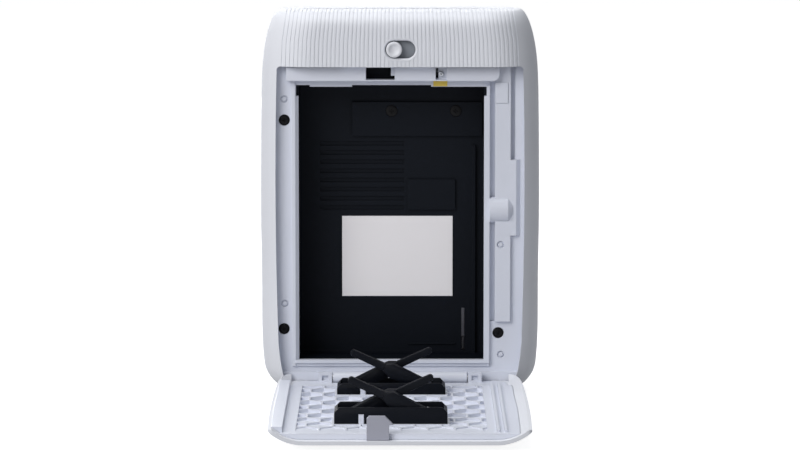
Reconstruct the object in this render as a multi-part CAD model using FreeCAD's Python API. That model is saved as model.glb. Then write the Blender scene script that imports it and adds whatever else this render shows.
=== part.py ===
import FreeCAD, Part
import math
import os

from FreeCAD import Vector

os.makedirs("parts", exist_ok=True)

# Pocket instant-film printer. Millimetres, +Z up, origin at the bottom centre of the body.
# The film door is on the -Y side and is hinged open, flat in front of the body.

# Body outside
body_width = 90.3
body_depth = 34.6
body_height = 123.9
side_flat = 1.6            # half length of the straight part in the middle of each rounded side
side_bow = 1.2             # how much narrower the body is at its ends than at mid height
top_corner_width = 5.5     # oval upper corners, seen from the front
top_corner_height = 22.0
top_edge_round = 5.0       # seen from the side
bottom_corner_round = 10.0
bottom_edge_round = 6.5
shell_wall = 1.5
seam_y = 0.3

# Ribbed band across the top of the rear shell
band_bottom = 106.3
rib_pitch = 1.325
rib_groove = 0.6
rib_depth = 0.12
ribbed_half_width = 38.6
rib_bend_z = 114.5         # the ribs lean in towards the middle, and more above this height
rib_bend_lean = 0.99       # their place there, as a share of their place at the bottom
rib_top_lean = 0.95

# Film door
door_gap = 0.3
door_wall = 1.2
opening_half_top = 39.5
opening_half_middle = 40.0
opening_half_low = 39.3
opening_half_bottom = 36.9
opening_corner = 1.3
opening_low_z = 20.0
hinge_y = -13.6
hinge_z = 5.4
door_tail = 1.8            # how far the door reaches below its hinge axis when closed
door_swing = 90.0
door_edge_y = -12.7        # how far the closed door's rim reaches in

# Hinge
hinge_pin_r = 0.9
hinge_running = 0.05
knuckle_r = 2.0
knuckle_inner_x = 21.9
knuckle_length = 4.5
barrel_r = 1.9             # long barrel of the frame between the two hinge blocks
barrel_web_drop = 1.2
hinge_end_gap = 0.3
hinge_pin_seat = 4.0       # length of each pin inside the barrel
block_recess = 2.0
block_recess_depth = 0.8

# Inner panel of the door
panel_face_y = -14.3
panel_half_width = 39.0     # cut off by the inside of the door's cover
panel_low_z = 4.2
panel_notch_z = 8.0        # lower edge of the panel between the hinge blocks
strip_high_z = 15.5        # the panel is a step lower from here down to the hinge
strip_step = 0.5
field_low_z = 16.7         # edges of the field of pockets
field_left_x = -31.2
field_right_x = 26.2
field_margin = 1.6
panel_lip = 2.9            # from the panel's edge to the door's free edge
pocket_flat = 7.5          # hexagonal pockets, across flats
pocket_web = 0.65
pocket_stretch = 1.1       # length of a pocket along the door, against a regular hexagon
pocket_first_x = -28.35
pocket_first_z = 17.85
pocket_depth = 1.2
pocket_end_depth = 0.15    # the pockets grow shallower towards the door's free edge
pocket_slope_z = 62.0      # where they start to do so
least_pocket = 0.4         # smallest volume that is cut where the field ends
tray_seat = 0.7            # plain border round each tray
panel_rib_height = 0.8
panel_rib_width = 0.9
panel_wall_height = 1.7
panel_wall_x = -35.1       # inner side of the wall along the left flank
panel_rib_high_z = 100.8

# Door hook
hook_left_x = -9.9
hook_right_x = -3.2
hook_barb = 1.3
hook_top_y = -8.8
hook_corner = 0.7
hook_ramp = 2.6
hook_back_slope = 0.1
hook_thick = 1.4
hook_from_edge = 1.4
hook_foot_rise = 1.5
hook_seat_gap = 0.1

# Film bay
bay_left_x = -32.6
bay_right_x = 27.05
bay_low_z = 10.85
bay_top_z = 100.0
bay_floor_y = 5.0
chamber_wall = 1.2
bay_notch = 0.8            # extra width at the very top of the bay
bay_notch_height = 3.5

# Film frame
frame_face_y = -10.0
frame_thick = 1.4
frame_fit = 0.05
frame_low_z = 7.0
frame_top_z = 107.5
sill_face_y = -11.2
sill_low_z = 4.0
rim_rise = 1.2
rim_left = 1.1
ridge_width = 1.1
ridge_rise = 1.0
step_rise = 0.6
step_height = 1.0
top_strip_drop = 0.55
top_strips = ((-29.0, -15.4), (10.0, 27.85))
rim_right = 1.85
rail_groove = 1.7
plateau_rise = 1.3
plateau_width = 5.0
channel_width = 1.4
channel_depth = 1.1
plateau_low_z = 23.4
wide_plateau_low_z = 51.4
wide_plateau_high_z = 76.0
wide_plateau_extra = 1.8
pad_rise = 0.3
pad_low_z = 94.3
pad_height = 6.7
pad_width = 4.1
bump_r = 4.35
bump_z = 59.7
bump_rise = 3.2
bump_length = 7.4
bump_bevel = 1.5
ledge_left_x = -36.4
ledge_right_x = 31.9
ledge_low_z = 101.6
ledge_high_z = 106.0
ledge_face_y = -13.7
ledge_wall = 0.8
ledge_end_round = 2.2
slot_right_x = -1.7
slot_margin = 1.0
ledge_pocket_x = 13.2
ledge_pocket = 3.5
ledge_pocket_depth = 1.5
ledge_pocket_hole = 0.8     # slit along the pocket's left side
dimple_r = 1.15
dimple_core_r = 0.7
dimple_depth = 0.5
rail_dimples = ((-37.2, 95.5), (-37.2, 29.2), (32.6, 12.5))
plateau_dimple = (32.4, 48.5)

# Screws
frame_screw_head_r = 1.75
frame_screw_head = 1.0
frame_screw_r = 0.9
frame_screw_length = 9.0
frame_screw_places = ((-37.2, 88.7), (-37.5, 20.9), (31.75, 19.6))
screw_play = 0.08
post_r = 2.4
small_screw_head_r = 0.85
cover_screw_head_r = 1.85
cover_screw_head = 0.5
drive_recess_r = 0.8
small_recess_r = 0.4
drive_recess = 0.4

# Latch
knob_r = 2.55
knob_x = -1.9
knob_z = 111.9
knob_proud = 0.6
knob_dish_r = 1.75
knob_dish = 0.7
knob_edge = 0.4
latch_travel = 4.0
latch_play = 0.3
slider_front_y = -15.05
slider_thick = 0.8
slider_left = 6.0          # reach of the slider either side of the knob
slider_right = 7.0
slider_low_z = 106.75
slider_above_knob = 2.7
slider_clear = 0.35
latch_wall = 1.2
catch_width = 2.0
catch_thick = 0.8
catch_gap = 0.3
catch_tip_z = 103.2
bevel_width = 0.4
bevel_depth = 0.4
latch_spring_r = 0.75
latch_spring_length = 9.0

# Press trays and levers
tray_length = 34.2
tray_depth = 11.0
tray_wall = 1.0
upper_tray_z = 75.6
upper_tray_height = 5.0
lower_tray_z = 22.6
lower_tray_height = 3.6
tray_chamfer = 1.6
tray_notch_x = -12.6
tray_notch_width = 1.8
tray_notch_share = 0.6
tray_boss_gap = 0.1
tray_pin_cover = 0.4
lever_pivot = 11.2         # from the middle of the tray to each pivot
lever_pivot_rise = 2.1
lever_length = 25.5
lever_angle = 25.0
lever_hub_r = 1.8
lever_web_r = 2.2
lever_bar_r = 1.15
lever_tip_r = 1.0
lever_width = 4.1
lever_bar_width = 2.6
lever_gap = 0.3
lever_pin_r = 0.8
lever_running = 0.05
lever_spring_r = 1.6
lever_spring_gap = 0.2

# Film path and rollers
film_plane_y = 2.4
film_slot_width = 56.0
film_slot_gap = 2.4
roller_r = 3.5
film_gap = 0.1             # from the film plane to each roller
roller_z = 110.5
shaft_r = 1.5
shaft_running = 0.05
roller_margin = 2.0        # from the bracket to the rubber sleeve
sleeve_wall = 1.4
bracket_thick = 1.2
bracket_low_z = 92.0
bracket_high_z = 115.5
bracket_rear_y = -5.0
bracket_front_y = 14.0
left_bracket_front_y = 10.0
bush_r = 2.5
bush_collar_r = 3.1
bush_collar = 0.4

# Gear train
gear_module = 0.6
pressure_angle = 25.0
tooth_height = 0.8         # addendum and dedendum, in modules
tooth_root = 1.05
tooth_play = 0.06          # taken off each tooth's thickness
centre_play = 0.05
roller_teeth = 20
small_teeth = 10
large_teeth = 22
pinion_teeth = 10
gear_width = 1.8
gear_layer_gap = 0.4
gear_bracket_gap = 0.9
idler_bearing = -60.0      # direction from the roller to the idler, in the YZ plane
motor_bearing = -40.0      # direction from the idler to the motor
gear_pin_r = 1.0
gear_running = 0.05
motor_r = 4.3
motor_length = 15.5
motor_shaft_r = 0.75
motor_shaft_depth = 3.0

# Exposure head
head_height = 4.8
head_depth = 6.0
head_film_gap = 2.2
lens_thick = 0.6
lens_height = 1.2
head_cover_low_z = 82.2
head_cover_height = 11.1
head_cover_left_x = -15.6
head_cover_thick = 1.2
head_cover_side_gap = 0.3
head_cover_screw_x = -2.7
head_cover_screw_pitch = 20.9
head_cover_screw_down = 2.9

# Film claw
claw_x = 20.6
claw_slot = 1.0
claw_slot_low_z = 11.6
claw_slot_length = 14.0
claw_thick = 0.8
claw_width = 5.0
claw_length = 18.0
claw_finger = 4.0
claw_finger_thick = 0.4
claw_gap = 0.3
claw_guide = 1.2

# Label and mark
label_width = 36.1
label_height = 26.4
label_low_z = 29.5
label_left_x = -18.9
label_thick = 0.12
mark_left_x = 10.7
mark_width = 4.5
mark_low_z = 99.6
mark_height = 1.95
mark_thick = 0.15

# Floor of the film bay
louvre_left_x = -26.0
louvre_right_x = 1.3
louvre_low_z = 58.0
louvre_high_z = 81.0
louvre_pitch = 3.0
louvre_depth = 0.6
louvre_gap = 1.4
block_left_x = 2.6
block_right_x = 18.0
block_low_z = 58.0
block_high_z = 68.0
block_rise = 0.8
guide_rail_x = 23.6
guide_rail_width = 1.0
guide_rail_rise = 1.2
guide_rail_inset = 3.0
floor_line_z = 13.5
floor_line = 0.4
baffle_left_x = -12.5      # light baffle behind the slot in the ledge
baffle_right_x = 4.5
baffle_high_z = 106.5
baffle_thick = 0.8
baffle_gap = 0.3

# Electronics
board_left_x = -38.0
board_right_x = -9.0
board_low_z = 32.0
board_high_z = 84.0
board_thick = 1.0
board_standoff = 1.5
standoff_r = 1.6
standoff_inset = 4.0
chips = ((-19.5, 72.0, 9.0, 1.4), (-18.5, 56.0, 7.0, 1.2), (-26.5, 62.0, 4.0, 1.0), (-17.5, 40.0, 5.0, 1.6))
socket_width = 9.0
socket_height = 3.2
socket_length = 7.2
socket_z = 44.0
socket_wall = 0.3
socket_overhang = 3.4
socket_hole_gap = 0.35
battery_left_x = -6.0
battery_width = 30.0
battery_height = 44.0
battery_thick = 5.6
battery_low_z = 36.0
battery_round = 1.6

# Power button on the front face
button_x = 0.0
button_z = 21.0
button_r = 5.0
button_proud = 0.2
button_dish = 0.4
button_travel = 0.7
button_flange = 1.0
button_flange_thick = 0.8
button_play = 0.2
ring_width = 1.4
ring_flange = 0.8
ring_flange_thick = 0.8
switch_size = 4.0
switch_height = 1.6
button_board_half = 8.0
button_board_height = 12.0
button_board_thick = 1.0

# Light seal in the film exit
seal_height = 1.2
seal_width = 0.6

# Values that follow from the sizes above
half_width = body_width / 2
half_depth = body_depth / 2
front_inside_y = half_depth - shell_wall
frame_back_y = frame_face_y + frame_thick
chamber_back_y = bay_floor_y + chamber_wall
chamber_left_x = bay_left_x - chamber_wall
chamber_right_x = bay_right_x + chamber_wall
chamber_low_z = bay_low_z - chamber_wall
chamber_top_z = bay_top_z + chamber_wall
bay_middle_x = (bay_left_x + bay_right_x) / 2
hinge_origin = Vector(0, hinge_y, hinge_z)
door_low_z = hinge_z - door_tail
door_top_z = band_bottom - door_gap
panel_top_z = door_top_z - panel_lip
film_left_x = bay_middle_x - film_slot_width / 2
film_right_x = bay_middle_x + film_slot_width / 2
far = 200.0


def box(x0, x1, y0, y1, z0, z1):
    return Part.makeBox(x1 - x0, y1 - y0, z1 - z0, Vector(x0, y0, z0))


def rod_x(x0, x1, y, z, radius):
    return Part.makeCylinder(radius, x1 - x0, Vector(x0, y, z), Vector(1, 0, 0))


def rod_y(x, y0, y1, z, radius):
    return Part.makeCylinder(radius, y1 - y0, Vector(x, y0, z), Vector(0, 1, 0))


def rod_z(x, y, z0, z1, radius):
    return Part.makeCylinder(radius, z1 - z0, Vector(x, y, z0), Vector(0, 0, 1))


def line(a, b):
    return Part.LineSegment(a, b).toShape()


def arc(a, b, c):
    return Part.Arc(a, b, c).toShape()


def plate_y(edges, y0, y1):
    """Extrude a closed outline, drawn in the XZ plane at y0, to y1."""
    return Part.Face(Part.Wire(edges)).extrude(Vector(0, y1 - y0, 0))


def polygon_y(points, y0, y1):
    """Extrude a polygon of (x, z) points from y0 to y1."""
    corners = [Vector(x, y0, z) for x, z in points]
    return Part.Face(Part.makePolygon(corners + corners[:1])).extrude(Vector(0, y1 - y0, 0))


def polygon_x(points, x0, x1):
    """Extrude a polygon of (y, z) points from x0 to x1."""
    corners = [Vector(x0, y, z) for y, z in points]
    return Part.Face(Part.makePolygon(corners + corners[:1])).extrude(Vector(x1 - x0, 0, 0))


def obround_y(x0, x1, z, radius, y0, y1):
    """Round-ended bar along X, from centre x0 to centre x1, standing from y0 to y1."""
    edges = [
        line(Vector(x0, y0, z - radius), Vector(x1, y0, z - radius)),
        arc(Vector(x1, y0, z - radius), Vector(x1 + radius, y0, z), Vector(x1, y0, z + radius)),
        line(Vector(x1, y0, z + radius), Vector(x0, y0, z + radius)),
        arc(Vector(x0, y0, z + radius), Vector(x0 - radius, y0, z), Vector(x0, y0, z - radius)),
    ]
    return plate_y(edges, y0, y1)


def export(shape, node):
    shape.removeSplitter().exportStep("parts/" + node + ".step")


# Body form

def rounding_loss(height, tall, wide):
    """How far a quarter oval, tall by wide, has drawn in at a height below its full size."""
    if height >= tall:
        return 0.0
    return wide * (1 - math.sqrt(1 - (1 - height / tall) ** 2))


def body_section(z, inset):
    """Rounded horizontal section of the body at height z, drawn in by inset."""
    middle_z = body_height / 2
    below = z - inset
    above = body_height - inset - z
    half_x = half_width - inset - side_bow * ((z - middle_z) / middle_z) ** 2
    half_x -= rounding_loss(above, top_corner_height - inset, top_corner_width - inset)
    half_x -= rounding_loss(below, bottom_corner_round - inset, bottom_corner_round - inset)
    half_y = half_depth - inset
    half_y -= rounding_loss(above, top_edge_round - inset, top_edge_round - inset)
    half_y -= rounding_loss(below, bottom_edge_round - inset, bottom_edge_round - inset)
    radius = half_y - side_flat
    slant = radius * (1 - math.sqrt(0.5))
    edges = []
    for turn in range(4):
        along, across = (half_x, half_y) if turn % 2 == 0 else (half_y, half_x)
        start = Vector(along, radius - across, z)
        end = Vector(along, across - radius, z)
        mid = Vector(along - slant, across - slant, z)
        stop = Vector(along - radius, across, z)
        quarter = FreeCAD.Rotation(Vector(0, 0, 1), 90 * turn)
        edges.append(line(quarter.multVec(start), quarter.multVec(end)))
        edges.append(arc(quarter.multVec(end), quarter.multVec(mid), quarter.multVec(stop)))
    return Part.Wire(edges)


def body_solid(inset):
    """The body's full form, drawn in evenly by inset."""
    low_round = max(bottom_corner_round, bottom_edge_round) - inset
    high_round = top_corner_height - inset
    low_angles = [0, 15, 30, 45, 60, 75, 90]
    high_angles = [90, 75, 60, 50, 40, 30, 20, 10, 0]
    lows = [inset + low_round * (1 - math.cos(math.radians(a))) for a in low_angles]
    top = body_height - inset
    highs = [top - high_round * (1 - math.cos(math.radians(a))) for a in high_angles]
    span = highs[0] - lows[-1]
    between = [lows[-1] + span * part / 4 for part in (1, 2, 3)]
    sections = [body_section(z, inset) for z in lows + between + highs]
    return Part.makeLoft(sections, True, False)


def opening_outline(gap, y):
    """Outline of the door opening at depth y, drawn in by gap."""
    top = band_bottom - gap
    low = door_low_z - door_gap + gap
    middle_z = (band_bottom + opening_low_z) / 2
    top_x = opening_half_top - gap
    middle_x = opening_half_middle - gap
    low_x = opening_half_low - gap
    bottom_x = opening_half_bottom - gap
    bend_x = (low_x + bottom_x) / 2 + (low_x - bottom_x) / 4
    bend_z = (opening_low_z + low) / 2
    corner = opening_corner * (1 - math.sqrt(0.5))
    right = [
        arc(Vector(bottom_x, y, low), Vector(bend_x, y, bend_z), Vector(low_x, y, opening_low_z)),
        arc(Vector(low_x, y, opening_low_z), Vector(middle_x, y, middle_z),
            Vector(top_x, y, top - opening_corner)),
        arc(Vector(top_x, y, top - opening_corner), Vector(top_x - corner, y, top - corner),
            Vector(top_x - opening_corner, y, top)),
    ]
    left = [edge.mirror(Vector(0, 0, 0), Vector(1, 0, 0)) for edge in right]
    top_edge = line(Vector(top_x - opening_corner, y, top), Vector(opening_corner - top_x, y, top))
    low_edge = line(Vector(-bottom_x, y, low), Vector(bottom_x, y, low))
    return Part.Wire(Part.__sortEdges__(right + [top_edge] + left + [low_edge]))


def opening_prism(gap, y0, y1):
    return Part.Face(opening_outline(gap, y0)).extrude(Vector(0, y1 - y0, 0))


outer = body_solid(0)
inner = body_solid(shell_wall)
shell = outer.cut(inner)
fitted = body_solid(shell_wall + frame_fit)     # room for what fits inside the shell


# Shells

def knob_slot(extra, y0, y1):
    reach = knob_r + latch_play + extra
    return obround_y(knob_x, knob_x + latch_travel, knob_z, reach, y0, y1)


def rib_grooves():
    """Grooves between the ribs, from the band's lower edge up and over the top to the seam."""
    count = int(2 * ribbed_half_width / rib_pitch)
    first = -rib_pitch * (count - 1) / 2
    bars = []
    for index in range(count):
        x = first + index * rib_pitch
        half = rib_groove / 2
        bend_x = x * rib_bend_lean
        top_x = x * rib_top_lean
        points = [
            (x - half, band_bottom - 1),
            (x + half, band_bottom - 1),
            (bend_x + half, rib_bend_z),
            (top_x + half, body_height + 1),
            (top_x - half, body_height + 1),
            (bend_x - half, rib_bend_z),
        ]
        bars.append(polygon_y(points, -half_depth - 1, seam_y))
    smooth = knob_slot(bevel_width + bevel_depth, -far, 0)
    return Part.makeCompound(bars).cut(body_solid(rib_depth)).cut(smooth)


def rear_shell():
    rear = shell.common(box(-far, far, -far, seam_y, -far, far))
    rear = rear.cut(opening_prism(0, -far, frame_face_y + frame_thick))
    sweep = math.hypot(door_tail, half_depth + hinge_y) + door_gap
    rear = rear.cut(rod_x(-opening_half_bottom, opening_half_bottom, hinge_y, hinge_z, sweep))
    rear = rear.cut(knob_slot(0, -far, slider_front_y))
    outside_y = -half_depth - bevel_depth
    inside_y = -half_depth + bevel_depth
    wide = bevel_width * (inside_y - outside_y) / bevel_depth
    bevel_outer = knob_slot(wide, outside_y, outside_y + 1).Faces
    mouth = max(bevel_outer, key=lambda face: -face.CenterOfMass.y).OuterWire
    throat_faces = knob_slot(0, inside_y, inside_y + 1).Faces
    throat = max(throat_faces, key=lambda face: -face.CenterOfMass.y).OuterWire
    rear = rear.cut(Part.makeLoft([mouth, throat], True, True))
    return rear.cut(rib_grooves())


def front_shell():
    front = shell.common(box(-far, far, seam_y, far, -far, far))
    core = body_solid(shell_wall / 2)
    for x, z in frame_screw_places:
        post = rod_y(x, frame_back_y, half_depth, z, post_r).common(core)
        front = front.fuse(post)
    for x, z in frame_screw_places:
        hole_end = frame_back_y + frame_screw_length
        front = front.cut(rod_y(x, frame_back_y - 1, hole_end, z, frame_screw_r + screw_play))
    slot_low = film_plane_y - film_slot_gap / 2
    slot_high = film_plane_y + film_slot_gap / 2
    front = front.cut(box(film_left_x, film_right_x, slot_low, slot_high, bracket_high_z, far))
    ring_r = button_r + button_play + ring_width
    front = front.cut(rod_y(button_x, front_inside_y - 1, far, button_z, ring_r + frame_fit))
    board_face = chamber_back_y + board_standoff + board_thick
    gap = socket_hole_gap
    return front.cut(box(-far, board_left_x, board_face - gap, board_face + socket_height + gap,
                         socket_z - socket_width / 2 - gap, socket_z + socket_width / 2 + gap))


# Film frame

def bay_window(y0, y1):
    straight = box(bay_left_x, bay_right_x, y0, y1, bay_low_z, bay_top_z)
    notch = box(bay_left_x - bay_notch, bay_right_x + bay_notch, y0, y1,
                bay_top_z - bay_notch_height, bay_top_z)
    return straight.fuse(notch)


def hinge_rods(inner_x, outer_x, radius):
    """Pair of rods on the hinge axis, mirrored left and right."""
    return [
        rod_x(inner_x, outer_x, hinge_y, hinge_z, radius),
        rod_x(-outer_x, -inner_x, hinge_y, hinge_z, radius),
    ]


def hinge_pins():
    barrel_end = knuckle_inner_x - hinge_end_gap
    pins = hinge_rods(barrel_end - hinge_pin_seat, knuckle_inner_x + knuckle_length, hinge_pin_r)
    return Part.makeCompound(pins)


def hinge_barrel():
    """Barrel between the door's hinge blocks, on a web from the sill."""
    end = knuckle_inner_x - hinge_end_gap
    barrel = rod_x(-end, end, hinge_y, hinge_z, barrel_r)
    web = box(-end, end, hinge_y, frame_back_y, hinge_z - barrel_web_drop, frame_low_z)
    return barrel.fuse(web).cut(hinge_pins())


def right_rail():
    """Groove, plateau, pad and half-round cover on the rail right of the bay."""
    left = bay_right_x + rim_right + rail_groove
    right = left + plateau_width
    face = frame_face_y - plateau_rise
    back = frame_face_y + frame_thick / 2
    pieces = [box(left, right, face, back, plateau_low_z, frame_top_z)]
    slant = plateau_rise + wide_plateau_extra
    wide = [
        (left, back),
        (left, face),
        (right + wide_plateau_extra, face),
        (right + slant, frame_face_y),
        (right + slant, back),
    ]
    corners = [Vector(x, y, wide_plateau_low_z) for x, y in wide]
    wide_face = Part.Face(Part.makePolygon(corners + corners[:1]))
    pieces.append(wide_face.extrude(Vector(0, 0, wide_plateau_high_z - wide_plateau_low_z)))
    pieces.append(box(left, left + pad_width, face - pad_rise, back, pad_low_z, pad_low_z + pad_height))
    bump_y = frame_face_y - bump_rise + bump_r
    bump_x = bay_right_x + rim_right
    bevel_x = bump_x + bump_length - bump_bevel
    bump = rod_x(bump_x, bevel_x, bump_y, bump_z, bump_r)
    bevel = Part.makeCone(bump_r, bump_r - bump_bevel, bump_bevel, Vector(bevel_x, bump_y, bump_z),
                          Vector(1, 0, 0))
    bump = bump.fuse(bevel)
    pieces.append(bump.common(box(-far, far, -far, back, 0, far)))
    return pieces


def rims():
    """White lips round the film bay; the left one slopes in from the ridge beside it."""
    face = frame_face_y - rim_rise
    ridge_face = frame_face_y - ridge_rise
    back = frame_face_y + frame_thick / 2
    right = box(bay_right_x, bay_right_x + rim_right, face, back, bay_low_z - rim_left, bay_top_z)
    corners = [
        Vector(bay_left_x, frame_face_y, bay_low_z - rim_left),
        Vector(bay_left_x, back, bay_low_z - rim_left),
        Vector(bay_left_x - rim_left, back, bay_low_z - rim_left),
        Vector(bay_left_x - rim_left, ridge_face, bay_low_z - rim_left),
    ]
    left_face = Part.Face(Part.makePolygon(corners + corners[:1]))
    left = left_face.extrude(Vector(0, 0, bay_top_z - bay_low_z + rim_left))
    low = box(bay_left_x - rim_left, bay_right_x + rim_right, face, back,
              bay_low_z - rim_left, bay_low_z)
    ridge_right = bay_left_x - rim_left
    ridge = box(ridge_right - ridge_width, ridge_right, ridge_face, back,
                bay_low_z - rim_left - step_height, ledge_low_z)
    step = box(ridge_right - ridge_width, bay_right_x + rim_right, frame_face_y - step_rise, back,
               bay_low_z - rim_left - step_height, bay_low_z - rim_left)
    return [right, left, low, ridge, step]


def rail_channels():
    """Channels in the frame's face: between rim and plateau, and beside the plateau's upper part."""
    floor_y = frame_face_y + channel_depth
    rim_x = bay_right_x + rim_right
    left = rim_x + rail_groove + plateau_width
    return [
        box(rim_x, rim_x + rail_groove, frame_face_y, floor_y, plateau_low_z, pad_low_z + pad_height),
        box(left, left + channel_width, frame_face_y, floor_y, wide_plateau_high_z, frame_top_z),
    ]


def dimple(place, face_y):
    x, z = place
    ring = rod_y(x, face_y, face_y + dimple_depth, z, dimple_r)
    return ring.cut(rod_y(x, face_y, face_y + dimple_depth, z, dimple_core_r))


def top_rim():
    """White strips that hang a little into the bay's upper edge."""
    return [box(x0, x1, frame_face_y, frame_back_y, bay_top_z - top_strip_drop, bay_top_z)
            for x0, x1 in top_strips]


def ledge():
    """Proud bar above the bay, with the wall that guides the latch slider standing on it."""
    bar = box(ledge_left_x, ledge_right_x, ledge_face_y, frame_back_y, ledge_low_z, ledge_high_z)
    low_right = [edge for edge in bar.Edges
                 if edge.CenterOfMass.x > ledge_right_x - frame_fit and edge.BoundBox.ZMax < ledge_high_z]
    bar = bar.makeFillet(ledge_end_round, [e for e in low_right if e.BoundBox.YLength > ledge_wall])
    wall_face = slider_front_y + slider_thick + slider_clear
    slider_left_x = knob_x - slider_left
    slider_right_x = knob_x + slider_right
    reach = latch_spring_length + 2 * ledge_wall
    wall = box(slider_left_x - reach, slider_right_x + latch_travel + latch_wall,
               wall_face, wall_face + latch_wall, ledge_high_z, knob_z + knob_r)
    runner = box(slider_left_x - reach, slider_right_x + latch_travel + latch_wall,
                 slider_front_y, wall_face, ledge_high_z, slider_low_z - slider_clear)
    post = box(slider_left_x - reach, slider_left_x - reach + latch_wall, slider_front_y, wall_face,
               knob_z - latch_wall, knob_z + latch_wall)
    return bar.fuse([wall, runner, post])


def ledge_cuts():
    catch_x = catch_left_x()
    slot_left = hook_left_x - slot_margin
    room_right = catch_x + catch_width + latch_travel + catch_gap
    slot_low = ledge_low_z + slider_clear
    window = box(slot_left, slot_right_x, -far, frame_back_y, slot_low, ledge_high_z)
    room = box(slot_left, room_right, ledge_face_y + ledge_wall, frame_back_y, slot_low, ledge_high_z)
    passage_high = slider_low_z + 3 * catch_thick + slider_clear
    passage = box(catch_x - catch_gap, room_right, slider_front_y + slider_thick, frame_back_y,
                  slot_low, passage_high).cut(
        box(slot_right_x, far, -far, ledge_face_y + ledge_wall, 0, ledge_high_z))
    runner_gap = box(catch_x - catch_gap, room_right, ledge_face_y + ledge_wall, frame_back_y,
                     ledge_high_z - 1, passage_high)
    pocket = box(ledge_pocket_x - ledge_pocket / 2, ledge_pocket_x + ledge_pocket / 2,
                 ledge_face_y, ledge_face_y + ledge_pocket_depth, ledge_low_z + ledge_wall / 2,
                 ledge_high_z)
    slit = box(ledge_pocket_x - ledge_pocket / 2, ledge_pocket_x - ledge_pocket / 2 + ledge_pocket_hole,
               ledge_face_y, frame_back_y, ledge_low_z + ledge_wall, ledge_high_z - ledge_wall / 2)
    return [window, room, passage, runner_gap, pocket, slit]


def catch_left_x():
    return hook_right_x + catch_gap


def film_frame():
    slab = box(-far, far, frame_face_y, frame_back_y, frame_low_z, frame_top_z)
    sill = box(-opening_half_low, opening_half_low, sill_face_y, frame_back_y, sill_low_z, frame_low_z)
    frame = fitted.common(slab.fuse(sill))
    frame = frame.fuse(right_rail() + rims() + [ledge(), hinge_barrel()])
    frame = frame.cut(bay_window(-far, frame_back_y)).fuse(top_rim())
    frame = frame.cut(Part.makeCompound(ledge_cuts() + rail_channels()))
    for x, z in frame_screw_places:
        seat = frame_face_y + frame_screw_head
        frame = frame.cut(rod_y(x, -far, seat, z, frame_screw_head_r + screw_play))
        frame = frame.cut(rod_y(x, seat, frame_back_y, z, frame_screw_r + screw_play))
    dimples = [dimple(place, frame_face_y) for place in rail_dimples]
    dimples.append(dimple(plateau_dimple, frame_face_y - plateau_rise))
    return frame.cut(Part.makeCompound(dimples))


# Film chamber

def louvres():
    slots = []
    z = louvre_low_z
    while z + louvre_gap <= louvre_high_z:
        slots.append(box(louvre_left_x, louvre_right_x, bay_floor_y, bay_floor_y + louvre_depth,
                         z, z + louvre_gap))
        z += louvre_pitch
    return slots


def standoff_places():
    return [
        (x, z)
        for x in (board_left_x + standoff_inset, board_right_x - standoff_inset)
        for z in (board_low_z + standoff_inset, board_high_z - standoff_inset)
    ]


def button_board_y():
    """Rear face of the small board behind the power button."""
    pressed = front_inside_y - ring_flange_thick - button_play - button_flange_thick - button_travel
    return pressed - button_play - switch_height - button_board_thick


def film_chamber():
    chamber = box(chamber_left_x, chamber_right_x, frame_back_y, chamber_back_y,
                  chamber_low_z, chamber_top_z)
    room = box(bay_left_x, bay_right_x, frame_back_y, bay_floor_y, bay_low_z, bay_top_z)
    chamber = chamber.cut(room)
    slot_low = film_plane_y - film_slot_gap / 2
    slot_high = film_plane_y + film_slot_gap / 2
    chamber = chamber.cut(box(film_left_x, film_right_x, slot_low, slot_high, bay_top_z, chamber_top_z))
    chamber = chamber.cut(Part.makeCompound(louvres()))
    claw_slot_top = claw_slot_low_z + claw_slot_length
    chamber = chamber.cut(box(claw_x - claw_slot / 2, claw_x + claw_slot / 2, bay_floor_y, chamber_back_y,
                              claw_slot_low_z, claw_slot_top))
    adds = [box(block_left_x, block_right_x, bay_floor_y - block_rise, bay_floor_y,
                block_low_z, block_high_z)]
    adds.append(box(block_left_x, block_right_x, bay_floor_y - floor_line, bay_floor_y,
                    floor_line_z, floor_line_z + floor_line))
    baffle_y = frame_back_y + baffle_gap
    adds.append(box(baffle_left_x, baffle_right_x, baffle_y, baffle_y + baffle_thick,
                    bay_top_z, baffle_high_z))
    rail_high = head_cover_low_z - guide_rail_inset
    adds.append(box(guide_rail_x, guide_rail_x + guide_rail_width, bay_floor_y - guide_rail_rise,
                    bay_floor_y, bay_low_z, rail_high))
    for x, z in standoff_places():
        adds.append(rod_y(max(x, chamber_left_x + standoff_r), chamber_back_y,
                          chamber_back_y + board_standoff, z, standoff_r))
    for side in (-1, 1):
        x = button_x + side * (button_board_half - standoff_r)
        adds.append(rod_y(x, chamber_back_y, button_board_y(), button_z, standoff_r))
    guide_back = chamber_back_y + claw_gap + claw_thick + claw_gap
    for side in (-1, 1):
        near = claw_x + side * (claw_width / 2 + claw_gap)
        away = near + side * claw_guide
        guide = box(min(near, away), max(near, away), chamber_back_y, guide_back + claw_guide,
                    claw_slot_low_z, claw_slot_low_z + claw_length)
        lip = box(min(near - side * claw_guide, away), max(near - side * claw_guide, away),
                  guide_back, guide_back + claw_guide, claw_slot_low_z, claw_slot_low_z + claw_length)
        adds.append(guide.fuse(lip))
    chamber = chamber.fuse(adds)
    for x in head_cover_screw_places():
        chamber = chamber.cut(rod_y(x, bay_floor_y, chamber_back_y, head_cover_screw_z(),
                                    frame_screw_r + screw_play))
    return chamber


def head_cover_screw_places():
    return [head_cover_screw_x, head_cover_screw_x + head_cover_screw_pitch]


def head_cover_screw_z():
    return head_cover_low_z + head_cover_height - head_cover_screw_down


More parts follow.
